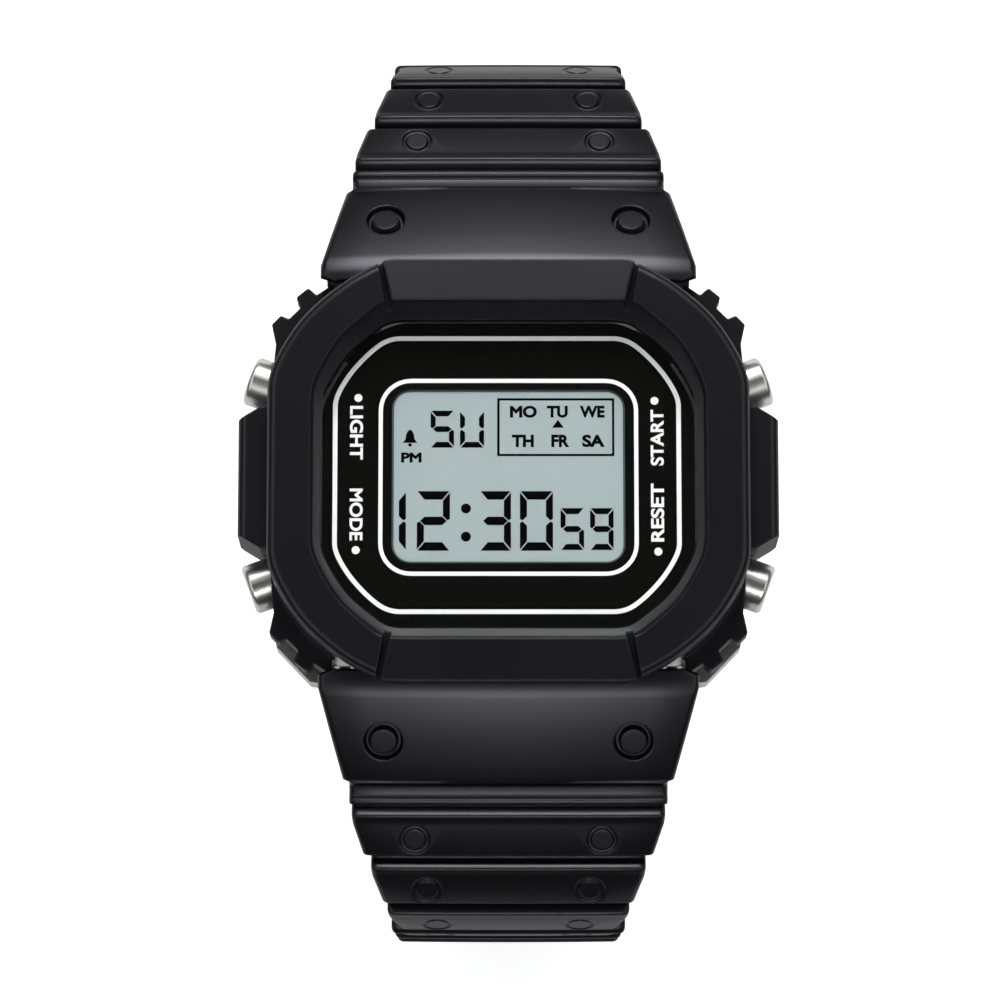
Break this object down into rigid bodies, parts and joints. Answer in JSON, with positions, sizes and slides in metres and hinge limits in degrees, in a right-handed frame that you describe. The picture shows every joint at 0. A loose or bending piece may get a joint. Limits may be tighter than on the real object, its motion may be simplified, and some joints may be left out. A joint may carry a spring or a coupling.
{
  "type": "digital watch",
  "caption": "Square resin wristwatch with a digital display, side push buttons and a ribbed two-piece strap with buckle and keeper",
  "frame": {"origin": "centre of the case back's outer face, which lies on the wrist", "axes": "+Z out of the dial, +Y towards twelve o'clock, +X towards three o'clock"},
  "size_m": [0.043, 0.0722, 0.0518],
  "materials": {
    "bezel_resin": "satin moulded resin",
    "strap_resin": "satin moulded resin",
    "case_steel": "satin",
    "back_steel": "brushed",
    "button_chrome": "polished",
    "buckle_steel": "brushed",
    "crystal": "clear",
    "dial_print": "printed black",
    "lcd_glass": "satin reflective display",
    "light_sheet": "matte",
    "module_plastic": "matte",
    "board": "satin lacquer",
    "chip_plastic": "matte",
    "sounder_brass": "satin",
    "seal_rubber": "matte"
  },
  "bodies": {
    "case": {"bezel": "bezel_resin", "case_body": "case_steel", "case_back": "back_steel", "case_back_screws": "back_steel", "case_back_gasket": "seal_rubber", "crystal": "crystal", "crystal_gasket": "seal_rubber", "dial_film": "dial_print", "lcd_panel": "lcd_glass", "light_panel": "light_sheet", "lcd_connectors": "seal_rubber", "module_frame": "module_plastic", "module_base": "module_plastic", "module_screws": "back_steel", "circuit_board": "board", "clock_chip": "chip_plastic", "quartz_can": "button_chrome", "battery": "case_steel", "battery_clamp": "case_steel", "back_cushion": "seal_rubber", "buzzer_disc": "sounder_brass", "buzzer_spring": "case_steel", "contact_springs": "case_steel", "button_seals": "seal_rubber", "spring_bar_upper": "case_steel", "spring_bar_lower": "case_steel", "button_spring_light": "case_steel", "button_spring_mode": "case_steel", "button_spring_start": "case_steel", "button_spring_reset": "case_steel"},
    "button_light": {"button_light": "button_chrome", "button_clip_light": "case_steel"},
    "button_mode": {"button_mode": "button_chrome", "button_clip_mode": "case_steel"},
    "button_start": {"button_start": "button_chrome", "button_clip_start": "case_steel"},
    "button_reset": {"button_reset": "button_chrome", "button_clip_reset": "case_steel"},
    "strap_upper": {"strap_upper": "strap_resin"},
    "strap_lower": {"strap_lower": "strap_resin"},
    "buckle": {"buckle_frame": "buckle_steel", "buckle_bar": "case_steel"},
    "prong": {"prong": "buckle_steel"},
    "keeper": {"keeper": "strap_resin"}
  },
  "joints": [
    {"name": "button_light_press", "type": "slide", "parent": "case", "child": "button_light", "axis": [0.9397, -0.342, 0], "range_m": [0, 0.0007], "stiffness_N_per_m": 1200, "springref_m": -0.0005, "deforming": ["button_spring_light"]},
    {"name": "button_mode_press", "type": "slide", "parent": "case", "child": "button_mode", "axis": [0.9397, 0.342, 0], "range_m": [0, 0.0007], "stiffness_N_per_m": 1200, "springref_m": -0.0005, "deforming": ["button_spring_mode"]},
    {"name": "button_start_press", "type": "slide", "parent": "case", "child": "button_start", "axis": [-0.9397, -0.342, 0], "range_m": [0, 0.0007], "stiffness_N_per_m": 1200, "springref_m": -0.0005, "deforming": ["button_spring_start"]},
    {"name": "button_reset_press", "type": "slide", "parent": "case", "child": "button_reset", "axis": [-0.9397, 0.342, 0], "range_m": [0, 0.0007], "stiffness_N_per_m": 1200, "springref_m": -0.0005, "deforming": ["button_spring_reset"]},
    {"name": "strap_upper_swing", "type": "hinge", "parent": "case", "child": "strap_upper", "pos_m": [0, 0.0192, 0.0056], "axis": [1, 0, 0], "range_deg": [0, 15]},
    {"name": "strap_lower_swing", "type": "hinge", "parent": "case", "child": "strap_lower", "pos_m": [0, -0.0192, 0.0056], "axis": [-1, 0, 0], "range_deg": [0, 15]},
    {"name": "buckle_turn", "type": "hinge", "parent": "strap_upper", "child": "buckle", "pos_m": [0, 0.01791, -0.03285], "axis": [1, 0, 0], "range_deg": [-60, 50]},
    {"name": "prong_swing", "type": "hinge", "parent": "buckle", "child": "prong", "pos_m": [0, 0.01791, -0.03285], "axis": [1, 0, 0], "range_deg": [0, 60]},
    {"name": "keeper_slide", "type": "slide", "parent": "strap_upper", "child": "keeper", "axis": [0, -0.8934, -0.4493], "range_m": [-0.003, 0.003]}
  ]
}
